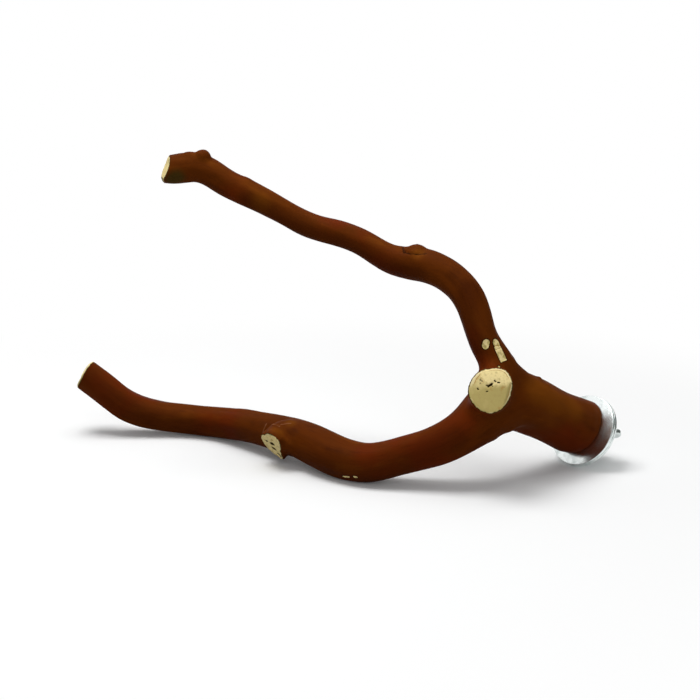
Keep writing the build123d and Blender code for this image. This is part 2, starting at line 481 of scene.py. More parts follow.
branchLook = {
    "grain": 0.83 * mm,
    "weld": 0.01 * mm,
    "evenRounds": 3,  # smoothing after the remesh
    "finePastSaw": 2.5,  # mm past a saw face or a scar where the mesh is finer
    "finePastScar": 5.0,
    "boxGap": 0.02 * mm,  # kept clear inside the CAD model's box
    "trunk": (  # middle line and radius in mm from the washers' seat, from the stem to the lower tip
        (9.5, 9.6, -4.4, 14.5), (-13.1, -6.2, 7.4, 14.3), (-35.9, -22.1, 21.2, 14.9), (-45.7, -29.0, 23.3, 14.2),
        (-60.9, -35.1, 12.2, 11.4), (-75.2, -36.1, 3.8, 10.0), (-92.8, -34.1, -2.6, 9.4), (-109.5, -31.4, -7.5, 9.8),
        (-126.4, -20.9, -7.2, 10.3), (-142.5, -3.9, -5.0, 10.0), (-159.2, 13.9, -5.5, 9.2), (-178.3, 33.4, -7.6, 8.5),
        (-192.6, 44.7, -9.6, 8.3), (-209.8, 50.0, -9.0, 8.1), (-223.6, 51.2, -7.5, 8.2), (-242.5, 52.0, -1.7, 8.6),
        (-252.5, 53.6, 5.4, 8.4), (-264.9, 56.9, 14.1, 8.3),
    ),
    "upper": (  # the same for the upper arm
        (-44.9, -29.0, 23.3, 11.6), (-45.0, -30.1, 33.1, 10.2), (-48.7, -32.1, 45.1, 8.2), (-58.2, -28.1, 65.5, 7.5),
        (-67.3, -19.1, 81.0, 7.7), (-87.7, -7.1, 88.5, 8.1), (-112.1, 2.9, 96.2, 6.6), (-140.1, 12.9, 104.5, 6.3),
        (-170.4, 19.9, 118.8, 6.8), (-194.7, 24.9, 131.2, 7.1), (-205.1, 26.9, 131.6, 7.5), (-220.1, 28.7, 129.8, 6.9),
    ),
    "limbMix": 2.5,  # mm over which one limb's bark passes into the other's
    "limbRelief": (  # waves round a limb, length of one along it, seed and height
        (1.25, 42, (3.1, 7.7, 1.9), 0.55),  # sinews
        (2.6, 15, (9.3, 2.2, 5.4), 0.24),  # lumps
    ),
    "melts": (  # centre and reach of a joint that grew smooth, rounds of smoothing
        ((-86.6, -8.0, 95.5), 9.0, 14), ((-194.1, 22.0, 137.5), 7.0, 16), ((-201.7, 24.0, 137.5), 6.5, 20),
        ((-34.5, -29.0, 37.5), 11.0, 220), ((-40.0, -35.0, 10.5), 10.0, 200),
        ((-51.0, -29.0, 40.0), 8.0, 60), ((-150.0, -6.0, 2.0), 10.0, 20),
    ),
    "meltCore": 0.55,  # share of the reach that melts in full
    "leastMelt": 0.01,
    "saws": {  # centre, outward direction, radius, pith beside the centre
        "stub": ((-53.05, -53.74, 35.53), (-0.1, -0.9511, 0.2924), 11.3, (-0.1, 2.9)),
        "twig": ((-159.35, -6.5, -7.35), (-0.6634, -0.5567, -0.5), 8.8, (0.9, 1.0)),
        "upperTip": ((-214.2, 28.0, 130.56), (-0.9491, -0.2366, 0.2079), 6.9, (0.5, 0.4)),
        "lowerTip": ((-264.9, 56.9, 14.1), (-0.7944, 0.2224, 0.5652), 8.3, (0.6, -0.8)),
        "stem": ((0.0, 0.0, 0.0), (0.6661, 0.5394, -0.515), 14.5, (0.0, 0.0)),
    },
    "outlines": {  # shift of a saw face, then its radius at each angle in degrees
        "stub": ((0.0, 0.0), ((0, 10.7), (19, 11.7), (33, 12.2), (46, 12.7), (60, 12.7), (73, 12.0), (94, 11.0),
                              (115, 11.2), (151, 11.2), (190, 11.0), (205, 10.6), (228, 10.4), (270, 11.1), (311, 10.6),
                              (334, 10.3))),
        "twig": ((1.2, 1.8), ((8, 9.6), (33, 11.0), (63, 9.9), (112, 7.0), (167, 9.3), (215, 9.6), (255, 9.3),
                              (282, 12.0), (296, 9.0), (319, 7.4))),
        "stem": ((0.0, 0.0), ((0, 14.5), (90, 14.4), (120, 14.0), (147, 13.6), (200, 13.5), (250, 13.5), (285, 14.2),
                              (320, 14.5))),
    },
    "tilts": (  # saw face, direction across it, start, rise or fall and curve of its lean
        ("stub", (0.0, 1.0), 1.0, 0.0, -0.017), ("upperTip", (0.0, -1.0), -3.0, 0.17, 0.0),
        ("lowerTip", (0.0, 1.0), 0.0, 0.22, 0.0),
    ),
    "bevels": (  # saw face, direction across it, start, slope and upper end of a cut-back edge
        ("stub", (0.97, -0.24), 7.7, 0.55, 4.2), ("upperTip", (0.0, -1.0), 4.0, 0.75, 9.0),
    ),
    "neck": {  # angle and levels where the stub is thinner behind its saw face, and by how much
        "saw": "stub", "angle": 150, "spread": (75, 30), "back": (-24.0, -14.4), "front": (-0.6, -1.6), "reach": 18,
        "inward": 1.4,
    },
    "edges": {  # where each change starts and is full
        "meltOffStub": (-2.0, -5.0), "meltOffTwig": (-1.0, -3.0), "outlineLevel": (-7.0, -0.8),
        "outlineReach": (4.0, 1.5), "girth": (0.5, 0.95), "faceTurn": (0.35, 0.8), "faceLevel": (-0.9, -0.3),
        "scar": (-0.2, 0.5), "lean": (-5.0, -1.0), "paintedLightUp": (-1.5, 7.0), "bevelTop": (0.5, -0.3),
        "bevel": (-0.15, 0.35),
    },
    "upperGirth": 0.2,  # added all round the upper arm
    "bareEdges": {"lowerTip": 1.0},  # how far the pale wood shows past a saw face's edge
    "bareFrom": -0.45,  # level at which a saw face starts
    "rimFrom": -2.5,  # level from which the bark counts as its edge
    "faceDepth": 3.0,  # wood this far from a saw face's level still belongs to it
    "faceFront": 2.0,
    "margins": {"face": 3.4, "lean": 3.0, "bevel": 2.7},  # past a saw face's radius
    "ringsApart": 50,  # keeps the saw faces' rings from matching
    "palerShares": {"twig": 1.0, "upperTip": 1.0},  # how pale these saw faces are, then the others; the twig's face is palest as painted light from the floor below it
    "plainShare": 0.6,
    "pitReach": 1.2,
    "pits": (  # saw face, ends of the slit beside the centre, half width and depth
        ("stub", (-0.9, 2.3), (0.7, 3.5), 0.50, 0.9), ("stub", (-1.9, 2.8), (-0.7, 2.5), 0.24, 0.4),
        ("stub", (0.4, 3.1), (1.3, 2.3), 0.18, 0.3), ("stub", (1.9, 5.2), (2.4, 4.7), 0.30, 0.5),
        ("stub", (3.3, 4.4), (4.3, 4.1), 0.28, 0.5), ("stub", (-6.1, 1.3), (-5.6, 0.6), 0.28, 0.5),
        ("stub", (-1.8, -0.2), (-1.2, -0.1), 0.28, 0.4), ("stub", (-4.9, 5.7), (-4.7, 4.7), 0.15, 0.3),
        ("stub", (-4.2, 5.2), (-4.0, 4.4), 0.15, 0.3), ("stub", (-5.2, 4.0), (-4.6, 3.6), 0.15, 0.3),
        ("twig", (-3.8, 2.9), (-2.8, 3.1), 0.60, 0.9), ("twig", (-0.5, 1.9), (1.6, 2.3), 0.95, 1.3),
        ("twig", (-1.1, -1.2), (0.5, -1.7), 0.90, 1.2), ("twig", (1.3, -4.4), (2.5, -6.2), 0.65, 1.1),
    ),
    "scars": (  # ends of a bare patch, its half width, and whether its ends are square
        ((-54.4, -38.7, 54.2), (-53.9, -38.7, 55.8), 1.65, False),
        ((-49.0, -37.4, 55.6), (-48.7, -37.4, 55.1), 1.90, False),
        ((-48.7, -37.9, 54.0), (-45.4, -39.4, 46.4), 1.85, True),
        ((-48.6, -43.4, 44.0), (-47.4, -43.3, 45.8), 0.55, False),
        ((-122.9, -33.2, -14.5), (-120.5, -35.0, -14.0), 0.6, False),
        ((-117.4, -37.2, -13.4), (-117.0, -37.4, -13.4), 0.85, False),
    ),
    "scarDepth": 0.3,
    "unscarred": -5.0,  # depth that stands for bark far from any scar
    "folds": (  # ends of a crease in the bark, half width and depth; the creases are painted darker, a painted shade
        ((-50.6, -38.0, 53.6), (-47.2, -37.2, 54.2), 0.35, 0.3),
        ((-50.0, -38.3, 51.9), (-46.7, -37.6, 53.0), 0.3, 0.25),
        ((-93.6, -6.0, 96.5), (-93.2, -10.2, 94.6), 0.9, 0.7), ((-93.2, -10.2, 94.6), (-90.4, -12.4, 94.4), 0.55, 0.4),
        ((-90.4, -12.4, 94.4), (-86.7, -13.8, 94.2), 0.5, 0.35), ((-86.7, -13.8, 94.2), (-82.0, -14.2, 94.6), 0.5, 0.3),
    ),
    "ridges": (  # ends of a raised seam in the bark, half width and height; painted lighter, a painted highlight on the twig's bark ridges and a pale streak
        ((-164.9, 6.9, -3.4), (-163.1, 7.4, 0.3), 0.6, 0.4), ((-160.2, 1.0, 2.2), (-158.7, -3.9, 3.8), 0.7, 0.3),
        ((-158.7, -3.9, 3.8), (-156.0, -7.2, 3.7), 0.5, 0.25), ((-155.0, -6.2, 4.6), (-149.9, -5.8, 5.2), 0.5, 0.25),
    ),
    "nubs": (  # centre, reach and height of a bud, below 0 for a hollow
        ((-25.2, -20.8, 33.0), 1.6, 0.9), ((-20.6, -20.8, 29.1), 1.3, 0.6), ((-172.0, 18.9, 126.6), 3.2, 0.6),
        ((-35.5, -29.5, 38.0), 6.5, 2.2), ((-30.8, -25.6, 35.0), 5.0, 0.8), ((-198.0, 23.5, 137.5), 3.6, 1.0),
        ((-203.5, 24.5, 137.3), 3.0, 0.5), ((-57.0, -41.0, 44.6), 5.0, -1.9), ((-62.5, -45.5, 41.0), 5.0, -1.3),
        ((-64.5, -46.5, 35.5), 5.5, -1.1), ((-33.0, -28.6, 7.3), 7.0, -2.1), ((-23.0, -22.0, 2.5), 7.0, -0.8),
        ((-40.5, -35.5, 10.5), 4.0, 1.2), ((-45.6, -41.0, 10.9), 4.5, -0.8),
    ),
    "greens": (((-207.2, 20.3, 128.0), 4.5), ((-211.0, 22.0, 125.5), 3.5)),  # centre and reach of a tint
    "ochres": (
        ((-165.2, 12.1, 115.9), 6.0), ((-86.0, -13.0, 94.0), 4.0), ((-29.0, -32.3, 30.2), 8.0),
        ((-18.0, -25.3, 23.1), 9.0), ((-6.6, -16.2, 16.3), 8.0), ((-156.9, -10.3, 0.8), 4.0),
        ((-150.0, -5.0, 5.2), 3.5),
    ),
    "paintedShadeBands": (  # painted shade along the shade sides of the limbs: reach, then points along each
        (8.0, ((-264.0, 48.5, 17.0), (-249.2, 44.0, 4.5), (-231.4, 42.5, -7.0), (-212.3, 41.5, -10.0),
               (-189.7, 31.5, -10.5), (-166.8, 8.3, -11.0))),
        (9.0, ((-69.0, -45.5, 9.0), (-80.8, -44.3, 4.0), (-95.3, -43.1, -5.0), (-111.8, -40.7, -10.0),
               (-127.1, -33.1, -10.0), (-142.4, -19.0, -9.0))),
        (6.5, ((-87.0, -16.0, 84.0), (-102.4, -8.8, 87.5), (-129.7, 2.9, 97.0), (-150.0, 9.3, 104.6),
               (-172.0, 13.0, 115.5))),
        (7.0, ((-61.6, -29.4, 79.6), (-63.5, -33.5, 66.0), (-58.8, -37.2, 54.1))),
    ),
}


def limbLine(rows, perSpan=24):  # an even curve through the rows, with its radius
    points = np.array(rows)
    ends = np.vstack([2 * points[0] - points[1], points, 2 * points[-1] - points[-2]])
    share = np.linspace(0, 1, perSpan, endpoint=False)[:, None]
    spans = []
    for index in range(len(points) - 1):
        a, b, c, d = ends[index:index + 4]
        spans.append(0.5 * (2 * b + (c - a) * share + (2 * a - 5 * b + 4 * c - d) * share ** 2
                            + (3 * b - a - 3 * c + d) * share ** 3))
    line = np.vstack([*spans, points[-1:]])
    return line[:, :3], line[:, 3]


def nearTree(places):
    tree = kdtree.KDTree(len(places))
    for index, place in enumerate(places):
        tree.insert(place, index)
    tree.balance()
    return tree


def limbCoordinates(points, rows):  # places on the limb as if it were straight, and the gap to its skin
    line, radius = limbLine(rows)
    along = np.gradient(line, axis=0)
    steps = np.linalg.norm(np.diff(line, axis=0), axis=1)
    length = np.concatenate([[0], np.cumsum(steps)])
    along /= np.linalg.norm(along, axis=1)[:, None]
    side = np.zeros_like(line)
    side[0] = np.cross(along[0], (0, 0, 1))
    for index in range(len(line)):
        carried = side[max(index - 1, 0)]
        carried = carried - along[index] * (carried @ along[index])
        side[index] = carried / np.linalg.norm(carried)
    tree = nearTree(line)
    nearest = np.array([tree.find(point)[1] for point in points])
    offset = points - line[nearest]
    across = np.einsum("ij,ij->i", offset, side[nearest])
    up = np.einsum("ij,ij->i", offset, np.cross(along[nearest], side[nearest]))
    run = length[nearest] + np.einsum("ij,ij->i", offset, along[nearest])
    gap = np.hypot(across, up) - radius[nearest]
    return np.stack([across, up, run], 1), radius[nearest], gap


def limbNoise(coordinates, radius, turns, alongScale, seed):
    scaled = np.empty_like(coordinates)
    scaled[:, :2] = coordinates[:, :2] / radius[:, None] * turns
    scaled[:, 2] = coordinates[:, 2] / alongScale
    scaled += seed
    return np.array([noise.noise(row) for row in scaled])


def segmentDistance(points, start, end):
    start, end = np.array(start), np.array(end)
    run = end - start
    share = np.clip(((points - start) @ run) / max(run @ run, 1e-9), 0, 1)
    return np.linalg.norm(points - start - share[:, None] * run, axis=1)


def squareDepth(points, start, end, width):  # depth inside a strip with square ends
    start, end = np.array(start), np.array(end)
    length = np.linalg.norm(end - start)
    along = (points - start) @ (end - start) / length
    aside = np.linalg.norm(points - start - along[:, None] * (end - start) / length, axis=1)
    return np.minimum(width - aside, length / 2 - np.abs(along - length / 2))


def smoothStep(value, low, high):
    share = np.clip((value - low) / (high - low), 0, 1)
    return share * share * (3 - 2 * share)


def stepOver(value, name):  # 0 to 1 across a named edge
    return smoothStep(value, *branchLook["edges"][name])


def fade(distance, reach):  # 1 at the middle, and near 0 at twice the reach
    return np.exp(-(distance / reach) ** 2)


def distanceTo(points, centre):
    return np.linalg.norm(points - np.array(centre), axis=1)


def sawPlace(points, name):  # level in front of a saw face, and place across it
    centre, outward = branchLook["saws"][name][:2]
    outward = np.array(outward) / np.linalg.norm(outward)
    right = np.cross((0, 0, 1), outward)
    right /= np.linalg.norm(right)
    sides = np.stack([right, np.cross(outward, right)])
    local = points - np.array(centre)
    return local @ outward, local @ sides.T, outward, sides


def meshArray(mesh, name):
    values = np.empty(len(mesh.vertices) * 3, np.float32)
    mesh.vertices.foreach_get(name, values)
    return values.reshape(-1, 3).astype(float)


def fromSeat(places):  # metres in the frame to mm from the washers' seat
    return (places - np.array(boltSeat)) / mm


def toFrame(places):
    return places * mm + np.array(boltSeat)


def storeField(mesh, name, values):
    kind, key = ("FLOAT", "value") if values.ndim == 1 else ("FLOAT_VECTOR", "vector")
    mesh.attributes.new(name, kind, "POINT").data.foreach_set(key, values.astype(np.float32).ravel())


def selectNear(mesh, spots):  # faces within the given distances of the spots
    centres = np.empty(len(mesh.polygons) * 3, np.float32)
    mesh.polygons.foreach_get("center", centres)
    centres = fromSeat(centres.reshape(-1, 3))
    chosen = np.zeros(len(centres), bool)
    for spot, reach in spots:
        chosen |= distanceTo(centres, spot) < reach
    mesh.polygons.foreach_set("select", chosen)


def meltSpots(wood):  # smooths the joints, but not the cut edges of the stub and the twig
    points = fromSeat(meshArray(wood.data, "co"))
    uncut = stepOver(sawPlace(points, "stub")[0], "meltOffStub") * stepOver(sawPlace(points, "twig")[0], "meltOffTwig")
    for order, (centre, reach, rounds) in enumerate(branchLook["melts"]):
        weight = smoothStep(distanceTo(points, centre), reach, reach * branchLook["meltCore"]) * uncut
        group = wood.vertex_groups.new(name="melt" + str(order))
        for index in np.flatnonzero(weight > branchLook["leastMelt"]):
            group.add([int(index)], float(weight[index]), "REPLACE")
        addModifier(wood, "SMOOTH", iterations=rounds, vertex_group=group.name)
    applyModifiers(wood)
    wood.vertex_groups.clear()


def makeBranchMesh():
    wood = bpy.data.objects.new("branchWood", frame["nodes"]["branch"].data.copy())
    scene.collection.objects.link(wood)
    editMesh(wood)
    bpy.ops.mesh.remove_doubles(threshold=branchLook["weld"])
    endEdit()
    addModifier(wood, "REMESH", mode="VOXEL", voxel_size=branchLook["grain"])
    addModifier(wood, "SMOOTH", iterations=branchLook["evenRounds"])
    applyModifiers(wood)
    meltSpots(wood)
    spots = []
    for name, saw in branchLook["saws"].items():
        if name != "stem":  # the washer hides it
            spots.append((saw[0], saw[2] + branchLook["finePastSaw"]))
    for start, end, width, square in branchLook["scars"]:
        spots.append(((np.array(start) + np.array(end)) / 2, width + branchLook["finePastScar"]))
    pickNone(wood, "FACE")
    selectNear(wood.data, spots)
    startEdit()
    bpy.ops.mesh.subdivide()
    endEdit()
    return wood


def roundFace(across):  # distance from a saw face's centre and angle in degrees
    return np.linalg.norm(across, axis=1), np.degrees(np.arctan2(across[:, 1], across[:, 0])) % 360


def drawOutline(points, name):  # pulls the wood behind a saw face out to its uneven outline
    radius = branchLook["saws"][name][2]
    shift, profile = branchLook["outlines"][name]
    level, across, _, sides = sawPlace(points, name)
    reach, angle = roundFace(across)
    wanted = np.interp(angle, [row[0] for row in profile], [row[1] for row in profile], period=360)
    share = stepOver(level, "outlineLevel") * stepOver(reach - radius, "outlineReach")
    share *= level < branchLook["faceFront"]
    move = across * (wanted / radius - 1)[:, None] + np.array(shift)
    points += share[:, None] * (move @ sides)


def drawInNeck(points):  # the stub narrows behind its saw face
    neck = branchLook["neck"]
    level, across, _, sides = sawPlace(points, neck["saw"])
    reach, angle = roundFace(across)
    share = smoothStep(np.abs(angle - neck["angle"]), *neck["spread"]) * (reach < neck["reach"])
    share *= smoothStep(level, *neck["back"]) * smoothStep(level, *neck["front"])
    inward = neck["inward"] * share / np.maximum(reach, 1)
    points -= inward[:, None] * (across @ sides)


def growLimbs(points, fields):  # height of the sinews and lumps along each limb
    trunk, trunkRadius, trunkGap = limbCoordinates(points, branchLook["trunk"])
    upper, upperRadius, upperGap = limbCoordinates(points, branchLook["upper"])
    upperShare = 1 / (1 + np.exp((upperGap - trunkGap) / branchLook["limbMix"]))
    height, tallest = np.zeros(len(points)), 0.0
    for turns, run, seed, rise in branchLook["limbRelief"]:
        tallest += rise
        for coordinates, radius, share in ((trunk, trunkRadius, 1 - upperShare), (upper, upperRadius, upperShare)):
            height += share * rise * limbNoise(coordinates, radius, turns, run, seed)
    fields.update(trunkCoords=trunk * mm, upperCoords=upper * mm, upperShare=upperShare, relief=height / tallest)
    return height + branchLook["upperGirth"] * stepOver(upperShare, "girth")


def nearFace(across, name, margin):
    return np.linalg.norm(across, axis=1) < branchLook["saws"][name][2] + branchLook["margins"][margin]


def flattenSaws(places, normals, height, fields):  # saw faces stay flat, and get their ring coordinates
    sawn, paler = np.full(len(height), -branchLook["faceDepth"]), np.full(len(height), branchLook["plainShare"])
    rings = np.zeros((len(height), 3))
    for order, (name, (level, across, outward, _)) in enumerate(places.items()):
        near = nearFace(across, name, "face") & (np.abs(level) < branchLook["faceDepth"])
        if name != "stem":
            sawn = np.where(near, np.maximum(sawn, level + branchLook["bareEdges"].get(name, 0)), sawn)
            rings[near, :2] = across[near] - np.array(branchLook["saws"][name][3])
            rings[near, 2] = order * branchLook["ringsApart"]
            paler[near] = branchLook["palerShares"].get(name, branchLook["plainShare"])
        height *= 1 - near * stepOver(normals @ outward, "faceTurn") * stepOver(level, "faceLevel")
    fields.update(sawnLevel=sawn, ringCoords=rings * mm, palerShare=paler)


def drawLines(points, skin, rows):  # share and height of seams or creases
    share, height = np.zeros(len(points)), np.zeros(len(points))
    for start, end, width, rise in rows:
        inside = fade(segmentDistance(points, skin.find(start)[0], skin.find(end)[0]), width)
        share = np.maximum(share, inside)
        height += rise * inside
    return share, height


def markBark(points, height, fields):  # buds and seams stand proud, scars and folds go in
    skin = nearTree(points)
    for centre, reach, rise in branchLook["nubs"]:
        height += rise * fade(distanceTo(points, skin.find(centre)[0]), reach)
    scar = np.full(len(points), branchLook["unscarred"])
    for start, end, width, square in branchLook["scars"]:
        ends = skin.find(start)[0], skin.find(end)[0]
        inside = squareDepth(points, *ends, width) if square else width - segmentDistance(points, *ends)
        scar = np.maximum(scar, inside)
    seam, seamHeight = drawLines(points, skin, branchLook["ridges"])
    fold, foldDepth = drawLines(points, skin, branchLook["folds"])
    height += seamHeight - foldDepth - branchLook["scarDepth"] * stepOver(scar, "scar")
    fields.update(seamShare=seam, scarDepth=scar, foldShare=fold)


def cutPits(places, height, fields):  # slits and pits go into the saw faces
    pit = np.zeros(len(height))
    for name, start, end, width, depth in branchLook["pits"]:
        level, across = places[name][:2]
        inside = fade(segmentDistance(across, start, end), width) * (np.abs(level) < branchLook["pitReach"])
        pit = np.maximum(pit, inside)
        height -= depth * inside
    fields["pitShare"] = pit


def leanFaces(places, fields):  # saw faces lean or round off a little
    lean = 0
    for name, side, start, slope, curve in branchLook["tilts"]:
        level, across, outward = places[name][:3]
        past = np.maximum(across @ np.array(side) - start, 0)
        near = nearFace(across, name, "lean") * stepOver(level, "lean") * (level < branchLook["faceFront"])
        lean = lean + (near * (slope * past + curve * past ** 2))[:, None] * outward
        if name == "stub":  # painted light: the stub's cut is paler towards its top, as if lit from above
            paintedTopLight = stepOver(across[:, 1], "paintedLightUp")
            fields["palerShare"] = np.where(near > 0, paintedTopLight, fields["palerShare"])
    return lean


def cutBackEdges(places, fields):  # how far the saw took an edge back
    bevelled, drop = 0, 0
    for name, side, start, slope, top in branchLook["bevels"]:
        level, across, outward = places[name][:3]
        near = nearFace(across, name, "bevel") & (level > -branchLook["faceDepth"]) & (level < branchLook["faceFront"])
        past = near * np.maximum(across @ np.array(side) - start, 0) * stepOver(across[:, 1] - top, "bevelTop")
        drop = drop + (np.clip(level + slope * past, 0, None) * (past > 0))[:, None] * outward
        bevelled = np.maximum(bevelled, stepOver(past, "bevel") * (past > 0))
    # where the painted shade of a cut-back edge goes
    fields["bevelShadeShare"] = bevelled
    return drop


def measureRims(points, fields):  # depth of each saw-face point behind the bark's edge
    sawn = fields["sawnLevel"]
    edge = nearTree(points[(sawn > branchLook["rimFrom"]) & (sawn < branchLook["bareFrom"])])
    rim = np.zeros(len(points))
    for index in np.flatnonzero(sawn >= branchLook["bareFrom"]):
        rim[index] = edge.find(points[index])[2]
    fields["rimDepth"] = rim


def tintBark(points, fields):
    # painted shade along the limbs' shade sides, then the green and ochre tints
    paintedShade = np.zeros(len(points))
    for reach, spots in branchLook["paintedShadeBands"]:
        for start, end in zip(spots, spots[1:]):
            paintedShade = np.maximum(paintedShade, fade(segmentDistance(points, start, end), reach))
    fields["paintedShadeShare"] = paintedShade
    for field, spots in (("greenShare", branchLook["greens"]), ("ochreShare", branchLook["ochres"])):
        fields[field] = sum(fade(distanceTo(points, centre), reach) for centre, reach in spots)


def shapeBranch(wood):
    mesh, fields = wood.data, {}
    points, normals = fromSeat(meshArray(mesh, "co")), meshArray(mesh, "normal")
    for name in branchLook["outlines"]:
        drawOutline(points, name)
    drawInNeck(points)
    places = {name: sawPlace(points, name) for name in branchLook["saws"]}
    height = growLimbs(points, fields)
    flattenSaws(places, normals, height, fields)
    markBark(points, height, fields)
    cutPits(places, height, fields)
    points += normals * height[:, None] - cutBackEdges(places, fields) + leanFaces(places, fields)
    measureRims(points, fields)
    tintBark(points, fields)
    low, high = (np.array(corner) for corner in cadBox)
    inBox = np.clip(toFrame(points), low + branchLook["boxGap"], high - branchLook["boxGap"])
    mesh.vertices.foreach_set("co", inBox.astype(np.float32).ravel())
    mesh.update()
    for name, values in fields.items():
        storeField(mesh, name, values)


barkLook = {
    "dark": colour(60, 23, 3),
    "middle": colour(93, 42, 5),
    "light": colour(118, 60, 11),
    "red": colour(102, 33, 4),
    "green": colour(62, 52, 18),
    "ochre": colour(122, 66, 10),
    # painted shade for the limbs' shade sides
    "paintedShade": colour(56, 18, 2),
    # lighter seams: painted highlight, and a pale streak
    "seam": colour(150, 98, 66),
    # painted shade in the bark's folds, also used for the dark bark round a scar
    "fold": colour(34, 14, 4),
    "layers": (  # pattern or field, where it starts and is full, strength, colour
        ("tone", 0.52, 0.74, 1.0, "light"), ("blush", 0.48, 0.68, 0.7, "red"), ("fibre", 0.50, 0.78, 0.25, "dark"),
        ("greenShare", 0.1, 1.0, 0.8, "green"), ("ochreShare", 0.1, 1.0, 0.6, "ochre"),
        ("paintedShadeShare", 0.1, 1.0, 0.5, "paintedShade"), ("seamShare", 0.35, 0.9, 0.55, "seam"),
        ("foldShare", 0.3, 0.9, 0.75, "fold"),
    ),
    "mottle": (46.0, 3.0),  # scale and detail of the noise
    "blush": (27.0, 3.0),
    "streaks": (150.0, 20.0, 3.0),  # the same, with scales across the limb and along it
    "fibres": (1300.0, 120.0, 2.0),
    "toneShares": (0.5, 0.5, 0.10),  # of mottling, streaks and relief
    "darkTones": (0.28, 0.50),
    "roughStreaks": (0.3, 0.7, 0.55, 0.70),  # streaks, then the roughness across them
    "scarRing": (-0.75, -0.15, 0.0, 0.75),  # dark bark round a scar
    "bumpShares": (0.3, 0.7),  # of fibres and streaks
    "shine": 0.02,
    "bumpStrength": 0.30,
    "bumpDepth": 0.3 * mm,
}
sawnLook = {
    "pale": colour(254, 233, 168),
    "deep": colour(200, 182, 114),
    "late": colour(192, 168, 106),
    "stain": colour(190, 146, 80),
    "rim": colour(244, 228, 176),
    # painted shade on the saw faces' cut-back edges
    "bevel": colour(186, 170, 106),
    "barkLine": colour(74, 62, 34),
    "pit": colour(48, 34, 10),
    "layers": (
        ("rings", 0.60, 1.0, 0.07, "late"), ("pores", 0.56, 0.76, 0.40, "late"), ("flecks", 0.50, 0.72, 0.55, "late"),
        ("stains", 0.58, 0.74, 0.6, "stain"), ("bevelShadeShare", 0.2, 0.9, 0.75, "bevel"),
    ),
    "patterns": {"pores": (1500.0, 2.0), "flecks": (520.0, 3.0), "stains": (240.0, 2.0)},  # scale and detail
    "rings": (210.0, 6.0, 3.0, 0.5),
    "shade": (150.0, 3.0),
    "shadeRise": 0.35,
    "palerFall": 0.6,
    "deepShades": (0.25, 0.80),
    "patches": (130.0, 1.0),
    "patchEdge": (0.45, 0.60, 0.0, 0.8),
    "innerLine": ((1.8, 1.5), (1.15, 1.4)),  # depths behind the bark's edge, in mm
    "rimLine": (1.35, 1.1),
    "barkEdge": (0.66, 0.48),
    "pitEdge": (0.18, 0.5),
    "sawEdge": (-0.50, -0.38),
    "scarEdge": (-0.08, 0.10),
    "scarStreaks": (420.0, 2.0),
    "deepStreaks": (0.42, 0.62),
    "creases": (0.3, 0.8, 0.0, 0.8),
    "wobble": (700.0, 2.0),
    "wobbleSize": 0.6,  # mm by which edges of the bark wander, then its share at saw faces and scars
    "sawWobble": 0.4,
    "scarWobble": 0.8,
    "bumpShares": (0.05, 0.5),  # of rings and pores
    "roughness": 0.78,
}


def layered(tree, base, look, patterns):  # a look's layers over its base colour
    for source, low, high, strength, tint in look["layers"]:
        value = patterns[source] if source in patterns else readValue(tree, source)
        base = mixColour(tree, ramp(tree, value, low, high, 0.0, strength), base, look[tint])
    return base


def alongLimb(tree, across, along, detail):  # noise stretched along the limbs
    found = []
    for name in ("trunkCoords", "upperCoords"):
        mapping = {"Vector": readValue(tree, name, "Vector"), "Scale": (across, across, along)}
        found.append(cloud(tree, addNode(tree, "Mapping", mapping).outputs[0], 1.0, detail))
    return mixValue(tree, readValue(tree, "upperShare"), *found)


def makeBark(tree, place):  # broad mottling, streaks along the limb and fine fibre
    mottle, blush = cloud(tree, place, *barkLook["mottle"]), cloud(tree, place, *barkLook["blush"])
    streak, fibre = alongLimb(tree, *barkLook["streaks"]), alongLimb(tree, *barkLook["fibres"])
    tone = weighted(tree, (mottle, streak, readValue(tree, "relief")), barkLook["toneShares"])
    tint = mixColour(tree, ramp(tree, tone, *barkLook["darkTones"]), barkLook["dark"], barkLook["middle"])
    tint = layered(tree, tint, barkLook, {"tone": tone, "blush": blush, "fibre": fibre})
    rough = ramp(tree, streak, *barkLook["roughStreaks"])
    return tint, rough, weighted(tree, (fibre, streak), barkLook["bumpShares"])


def makeSawnWood(tree, wobble):  # faint growth rings and pores round the pith, and a bark line at the rim
    place = readValue(tree, "ringCoords", "Vector")
    patterns = {name: cloud(tree, place, *grain) for name, grain in sawnLook["patterns"].items()}
    patterns["rings"] = ringWaves(tree, place, *sawnLook["rings"])
    # painted light: the stub's cut goes from deep to pale towards its top
    deeper = plus(tree, cloud(tree, place, *sawnLook["shade"]), sawnLook["shadeRise"])
    deeper = calc(tree, "SUBTRACT", deeper, times(tree, readValue(tree, "palerShare"), sawnLook["palerFall"]))
    tint = mixColour(tree, ramp(tree, deeper, *sawnLook["deepShades"]), sawnLook["pale"], sawnLook["deep"])
    tint = layered(tree, tint, sawnLook, patterns)
    rim = plus(tree, readValue(tree, "rimDepth"), wobble)
    patchy = ramp(tree, cloud(tree, place, *sawnLook["patches"]), *sawnLook["patchEdge"])
    innerLine = times(tree, *(ramp(tree, rim, *ends) for ends in sawnLook["innerLine"]))
    tint = mixColour(tree, times(tree, innerLine, patchy), tint, sawnLook["stain"])
    tint = mixColour(tree, times(tree, ramp(tree, rim, *sawnLook["rimLine"]), patchy), tint, sawnLook["rim"])
    tint = mixColour(tree, ramp(tree, rim, *sawnLook["barkEdge"]), tint, sawnLook["barkLine"])
    tint = mixColour(tree, ramp(tree, readValue(tree, "pitShare"), *sawnLook["pitEdge"]), tint, sawnLook["pit"])
    return tint, weighted(tree, (patterns["rings"], patterns["pores"]), sawnLook["bumpShares"])


